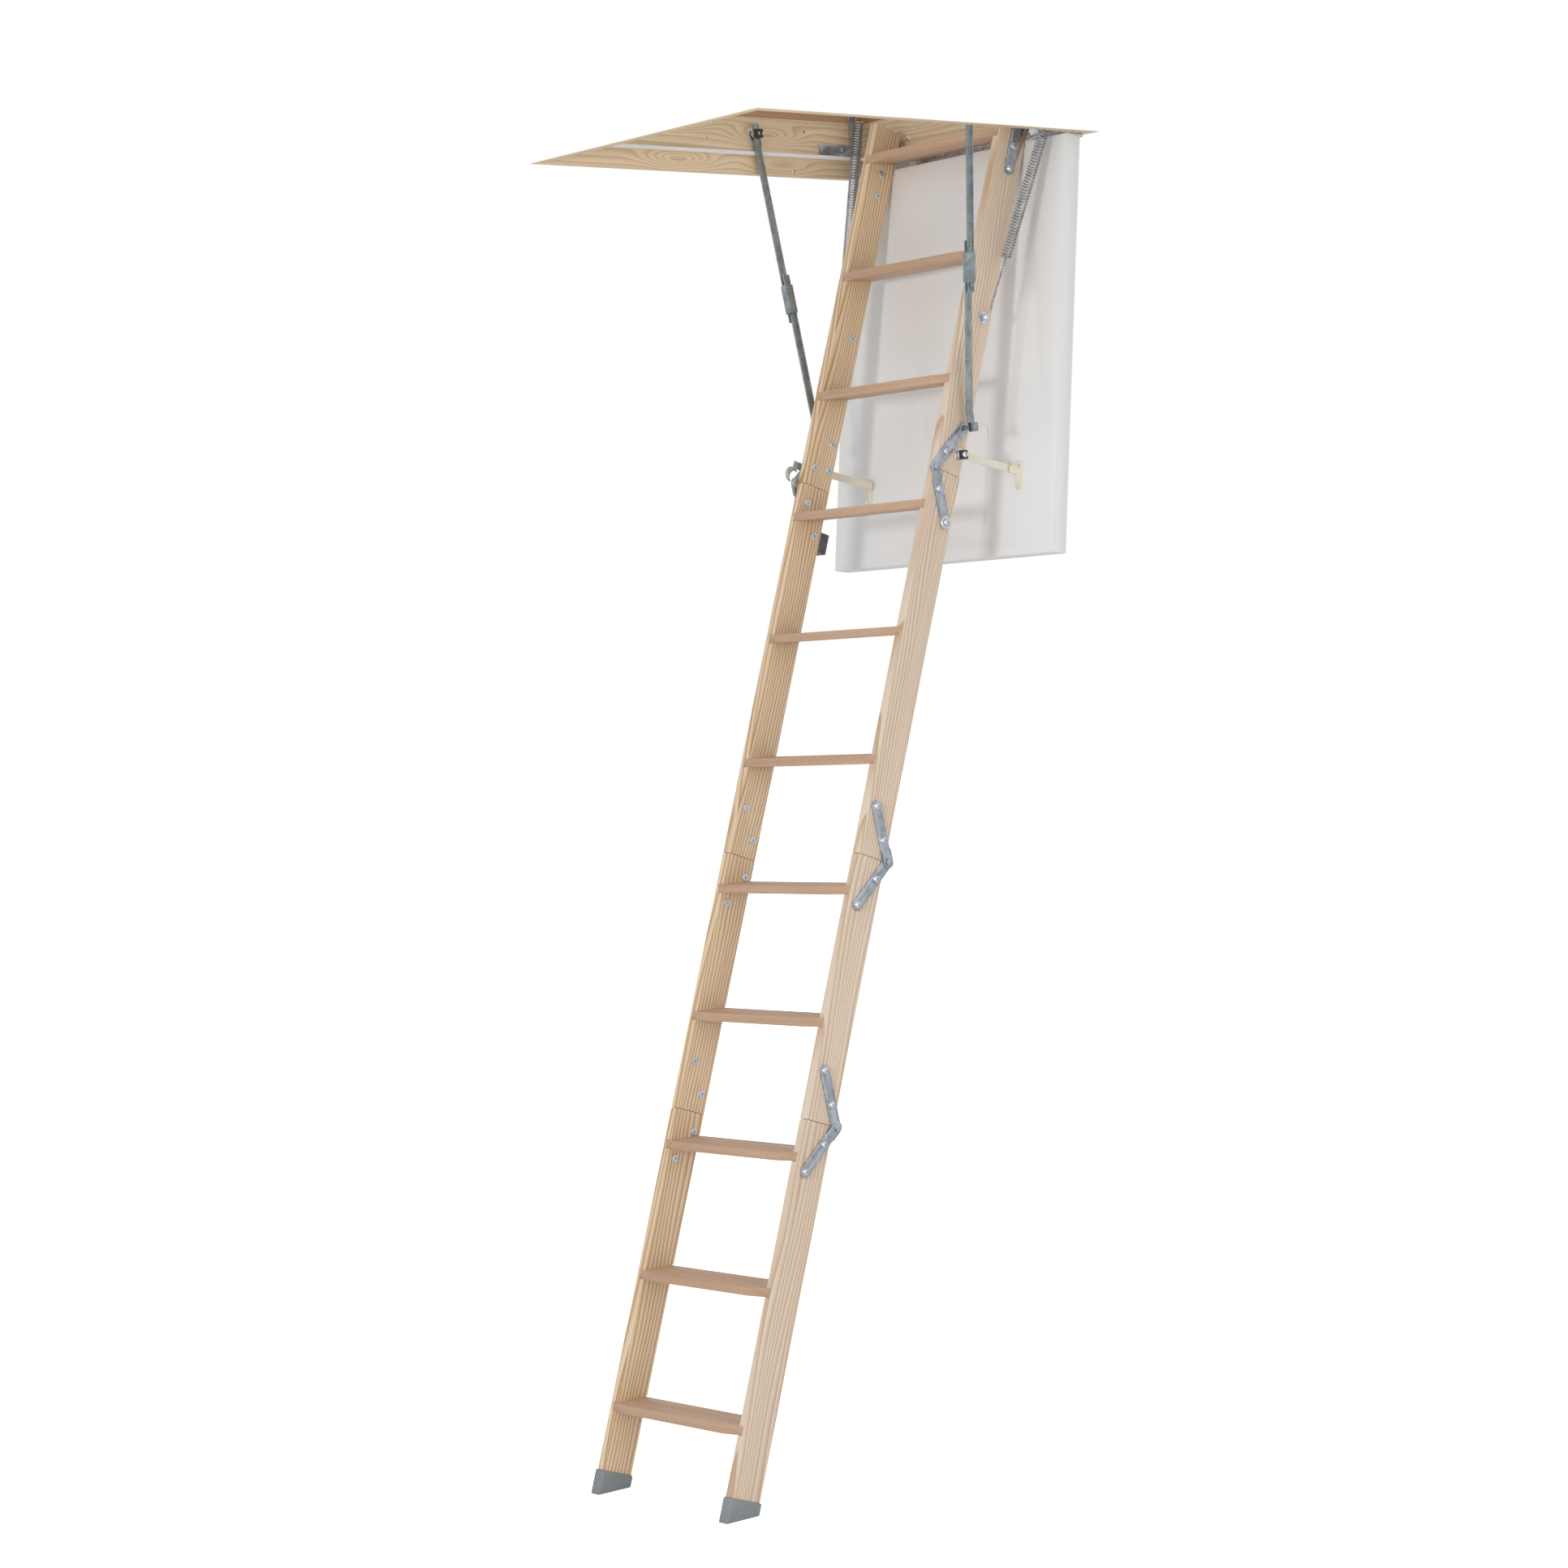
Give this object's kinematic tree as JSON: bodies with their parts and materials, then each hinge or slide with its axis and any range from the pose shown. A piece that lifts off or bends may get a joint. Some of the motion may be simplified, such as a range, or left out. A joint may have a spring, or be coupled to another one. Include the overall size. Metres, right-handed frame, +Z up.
{
  "type": "attic ladder",
  "caption": "Folding timber attic ladder in a hatch frame, with hinged insulated hatch door, folding stays, arms and lifting springs.",
  "frame": {"origin": "centre of the underside of the hatch frame, in the ceiling plane", "axes": "+Z up; -X is the landing side, +X the side of the hatch hinge; Y across the ladder, +Y is the left side when climbing; the floor is at z = -2.487 m"},
  "size_m": [0.9988, 0.672, 2.627],
  "materials": {
    "pine": "planed spruce, unvarnished, satin",
    "pine_dark": "planed wood, darker heart board, satin",
    "beech": "planed beech with fine flecks, satin",
    "zinc": "bright zinc plate",
    "stay_steel": "dark zinc-nickel coating, satin",
    "dark_steel": "dark rolled steel strip",
    "spring_steel": "oiled spring wire",
    "bolt_steel": "bright zinc plate",
    "white_panel": "white foil faced board, satin",
    "foam": "insulation foam",
    "seal": "white draught seal",
    "cream_plastic": "cream moulded plastic",
    "white_plastic": "white moulded plastic",
    "black_plastic": "black moulded plastic",
    "grey_plastic": "grey moulded plastic"
  },
  "bodies": {
    "hatch_frame": {"side_board_left": "pine", "side_board_right": "pine", "landing_board": "pine", "hinge_board": "pine", "upper_rails": "pine_dark", "draught_seal": "seal", "frame_screws": "bolt_steel", "hatch_leaf_fixed": "dark_steel", "hatch_pin": "bolt_steel", "leaf_caps": "white_plastic", "leaf_screws": "bolt_steel", "ladder_brackets": "zinc", "stay_brackets": "bolt_steel", "spring_brackets": "zinc", "stay_clips": "black_plastic"},
    "hatch_door": {"hatch_skin_inner": "white_panel", "hatch_skin_outer": "white_panel", "hatch_core": "foam", "hatch_edge": "white_panel", "hatch_leaf_moving": "dark_steel", "arm_brackets": "cream_plastic", "arm_bracket_screws": "bolt_steel", "lock_barrel": "bolt_steel"},
    "lock": {"lock_cam": "bolt_steel"},
    "section_1": {"stringer_1_left": "pine", "stringer_1_right": "pine", "treads_1": "beech", "plates_12_upper": "zinc", "fixings_1": "bolt_steel", "top_plates": "zinc", "ladder_clips": "black_plastic", "catch_hook": "zinc"},
    "section_2": {"stringer_2_left": "pine", "stringer_2_right": "pine", "treads_2": "beech", "plates_12_lower": "zinc", "plates_23_upper": "zinc", "fixings_2": "bolt_steel", "catch_angle": "dark_steel"},
    "section_3": {"stringer_3_left": "pine", "stringer_3_right": "pine", "treads_3": "beech", "plates_23_lower": "zinc", "plates_34_upper": "zinc", "fixings_3": "bolt_steel"},
    "section_4": {"stringer_4_left": "pine", "stringer_4_right": "pine", "treads_4": "beech", "plates_34_lower": "zinc", "fixings_4": "bolt_steel", "feet": "grey_plastic"},
    "stays_upper": {"stay_upper_left": "stay_steel", "stay_upper_right": "stay_steel"},
    "stays_lower": {"stay_lower_left": "stay_steel", "stay_lower_right": "stay_steel"},
    "sleeve_left": {"lock_sleeve_left": "stay_steel"},
    "sleeve_right": {"lock_sleeve_right": "stay_steel"},
    "arms": {"door_arms": "cream_plastic"},
    "springs": {"springs": "spring_steel", "spring_wires": "spring_steel"}
  },
  "joints": [
    {"name": "ladder_swing", "type": "hinge", "parent": "hatch_frame", "child": "section_1", "pos_m": [0.388, 0, 0.062], "axis": [0, 1, 0], "range_deg": [0, 50]},
    {"name": "hatch_swing", "type": "hinge", "parent": "hatch_frame", "child": "hatch_door", "pos_m": [0.4001, 0, -0.0042], "axis": [0, 1, 0], "range_deg": [0, 54.09]},
    {"name": "fold_1_2", "type": "hinge", "parent": "section_1", "child": "section_2", "pos_m": [0.07474, 0, -0.62044], "axis": [0, 1, 0], "range_deg": [0, 115]},
    {"name": "fold_2_3", "type": "hinge", "parent": "section_2", "child": "section_3", "pos_m": [-0.10239, 0, -1.34925], "axis": [0, 1, 0], "range_deg": [-115, 0]},
    {"name": "fold_3_4", "type": "hinge", "parent": "section_3", "child": "section_4", "pos_m": [-0.26606, 0, -1.81925], "axis": [0, 1, 0], "range_deg": [-60, 0]},
    {"name": "stay_swing", "type": "hinge", "parent": "hatch_frame", "child": "stays_upper", "pos_m": [0.1155, 0, 0.078], "axis": [0, 1, 0], "range_deg": [0, 113.12]},
    {"name": "stay_knee", "type": "hinge", "parent": "stays_upper", "child": "stays_lower", "pos_m": [0.13369, 0, -0.21443], "axis": [0, 1, 0], "range_deg": [-97.58, 0]},
    {"name": "sleeve_slide_left", "type": "slide", "parent": "stays_upper", "child": "sleeve_left", "axis": [-0.0615, 0.1373, 0.9886], "range_m": [0, 0.086]},
    {"name": "sleeve_slide_right", "type": "slide", "parent": "stays_upper", "child": "sleeve_right", "axis": [-0.0615, -0.1373, 0.9886], "range_m": [0, 0.086]},
    {"name": "arm_swing", "type": "hinge", "parent": "section_1", "child": "arms", "pos_m": [0.14128, 0, -0.59967], "axis": [0, 1, 0], "range_deg": [-19.68, 0]},
    {"name": "spring_swing", "type": "hinge", "parent": "hatch_frame", "child": "springs", "pos_m": [0.38, 0, 0.128], "axis": [0, 1, 0], "range_deg": [0, 45.47], "deforming": ["springs", "spring_wires"]},
    {"name": "lock_turn", "type": "hinge", "parent": "hatch_door", "child": "lock", "pos_m": [0.26376, 0, -0.74696], "axis": [-0.9918, 0, 0.1279], "range_deg": [0, 90]}
  ],
  "couplings": [
    {"joint": "hatch_swing", "follows": "ladder_swing", "ratio": 1.0816},
    {"joint": "stay_swing", "follows": "ladder_swing", "ratio": 2.2623},
    {"joint": "stay_knee", "follows": "ladder_swing", "ratio": -1.9514},
    {"joint": "arm_swing", "follows": "ladder_swing", "ratio": -0.39339},
    {"joint": "spring_swing", "follows": "ladder_swing", "ratio": 0.90912},
    {"joint": "fold_2_3", "follows": "fold_1_2", "ratio": -1},
    {"joint": "sleeve_slide_right", "follows": "sleeve_slide_left", "ratio": 1}
  ]
}
